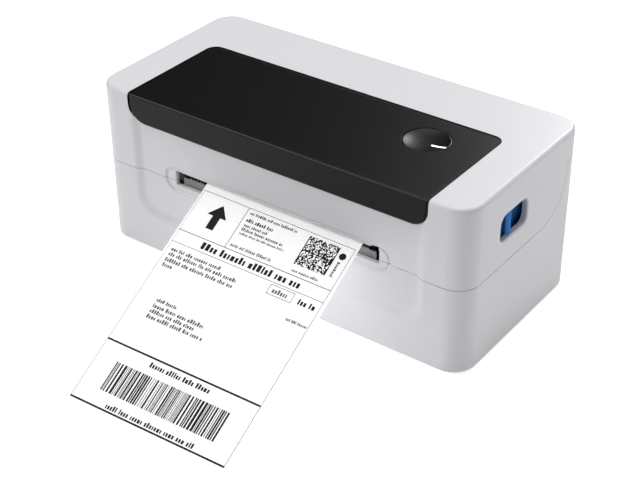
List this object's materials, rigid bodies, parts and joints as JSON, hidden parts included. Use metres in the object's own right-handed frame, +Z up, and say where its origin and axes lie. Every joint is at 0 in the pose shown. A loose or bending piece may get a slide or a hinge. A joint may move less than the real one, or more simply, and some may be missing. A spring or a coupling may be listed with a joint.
{
  "type": "thermal label printer",
  "caption": "Desktop direct thermal label printer: hinged cover with side latches, front label slot, feed button, platen drive and a label hanging out.",
  "frame": {"origin": "middle of the casing's footprint, on the plane the rubber feet stand on", "axes": "+Z up, -Y out of the front slot, +X to the right seen from the front"},
  "size_m": [0.225, 0.2264, 0.0925],
  "materials": {
    "white_shell": "fine satin texture",
    "black_panel": "satin",
    "dark_plastic": "matt",
    "blue_plastic": "satin",
    "foot_rubber": "matt",
    "roller_rubber": "ground matt",
    "steel": "plated",
    "aluminium": "milled",
    "motor_black": "satin",
    "gear_plastic": "natural acetal",
    "brass": "machined",
    "bush_plastic": "satin",
    "ceramic_head": "glazed",
    "board_green": "solder mask",
    "capacitor_sleeve": "sleeved",
    "cable_black": "matt",
    "ribbon": "matt",
    "light_pipe": "clear, lit white",
    "label_paper": "coated thermal paper"
  },
  "bodies": {
    "base": {"base_housing": "white_shell", "base_plate": "dark_plastic", "rubber_feet": "foot_rubber", "bottom_screws": "steel", "media_deck": "dark_plastic", "deck_screws": "steel", "tear_bar": "steel", "side_plate_left": "steel", "side_plate_right": "steel", "platen_bushes": "bush_plastic", "stepper_motor": "motor_black", "motor_screws": "steel", "idler_post": "steel", "main_board": "board_green", "processor_chip": "dark_plastic", "capacitors": "capacitor_sleeve", "board_screws": "steel", "plate_screws": "steel", "dc_jack": "dark_plastic", "usb_port": "steel", "switch_housing": "dark_plastic", "gap_sensor": "dark_plastic", "cover_switch": "dark_plastic", "motor_cable": "cable_black", "hinge_pins": "steel", "catch_pins": "steel", "pinion_screw": "steel"},
    "platen": {"platen_rubber": "roller_rubber", "platen_shaft": "steel", "platen_gear": "gear_plastic"},
    "idler": {"idler_gear": "gear_plastic"},
    "motor_rotor": {"motor_pinion": "brass", "motor_shaft": "steel"},
    "left_guide": {"guide_left": "blue_plastic"},
    "right_guide": {"guide_right": "blue_plastic"},
    "rack_pinion": {"guide_pinion": "gear_plastic"},
    "rocker": {"power_rocker": "dark_plastic"},
    "cover": {"cover_shell": "white_shell", "top_panel": "black_panel", "button_board": "board_green", "tact_switch": "dark_plastic", "head_carrier": "steel", "head_pivot_shaft": "steel", "carrier_screws": "steel", "head_springs": "steel", "head_cable": "ribbon", "latch_spring_left": "steel", "latch_spring_right": "steel"},
    "head": {"head_bracket": "steel", "heat_sink": "aluminium", "print_head": "ceramic_head"},
    "left_latch": {"latch_left": "blue_plastic"},
    "right_latch": {"latch_right": "blue_plastic"},
    "button": {"feed_button": "black_panel", "light_bar": "light_pipe"},
    "paper": {"label": "label_paper"}
  },
  "joints": [
    {"name": "cover_hinge", "type": "hinge", "parent": "base", "child": "cover", "pos_m": [0, 0.0495, 0.0775], "axis": [-1, 0, 0], "range_deg": [0, 75]},
    {"name": "platen_spin", "type": "hinge", "parent": "base", "child": "platen", "pos_m": [0, -0.03674, 0.0508], "axis": [1, 0, 0], "continuous": true},
    {"name": "idler_spin", "type": "hinge", "parent": "base", "child": "idler", "pos_m": [-0.07, -0.02642, 0.03851], "axis": [1, 0, 0], "continuous": true},
    {"name": "motor_spin", "type": "hinge", "parent": "base", "child": "motor_rotor", "pos_m": [-0.07, -0.0164, 0.02115], "axis": [1, 0, 0], "continuous": true},
    {"name": "guide_left_slide", "type": "slide", "parent": "base", "child": "left_guide", "axis": [1, 0, 0], "range_m": [0, 0.04]},
    {"name": "guide_right_slide", "type": "slide", "parent": "base", "child": "right_guide", "axis": [-1, 0, 0], "range_m": [0, 0.04]},
    {"name": "rack_pinion_turn", "type": "hinge", "parent": "base", "child": "rack_pinion", "pos_m": [0, 0.012, 0.042], "axis": [0, 0, 1], "range_deg": [0, 287]},
    {"name": "power_rocker_tilt", "type": "hinge", "parent": "base", "child": "rocker", "pos_m": [-0.075, 0.05235, 0.0265], "axis": [-1, 0, 0], "range_deg": [0, 18]},
    {"name": "head_lift", "type": "hinge", "parent": "cover", "child": "head", "pos_m": [0, -0.02214, 0.07703], "axis": [-1, 0, 0], "range_deg": [0, 3], "stiffness_Nm_per_rad": 2, "deforming": ["head_springs"]},
    {"name": "latch_left_slide", "type": "slide", "parent": "cover", "child": "left_latch", "axis": [0, -1, 0], "range_m": [0, 0.005], "stiffness_N_per_m": 300, "deforming": ["latch_spring_left"]},
    {"name": "latch_right_slide", "type": "slide", "parent": "cover", "child": "right_latch", "axis": [0, -1, 0], "range_m": [0, 0.005], "stiffness_N_per_m": 300, "deforming": ["latch_spring_right"]},
    {"name": "feed_button_press", "type": "slide", "parent": "cover", "child": "button", "axis": [0, 0, -1], "range_m": [0, 0.0008], "stiffness_N_per_m": 2500},
    {"name": "label_feed", "type": "slide", "parent": "base", "child": "paper", "axis": [0.0837, -0.9103, -0.4053], "range_m": [-0.01, 0]}
  ],
  "couplings": [
    {"joint": "idler_spin", "follows": "platen_spin", "ratio": -1.5},
    {"joint": "motor_spin", "follows": "platen_spin", "ratio": 3.8571},
    {"joint": "guide_right_slide", "follows": "guide_left_slide", "ratio": 1},
    {"joint": "rack_pinion_turn", "follows": "guide_left_slide", "rad_per_m": 125}
  ]
}
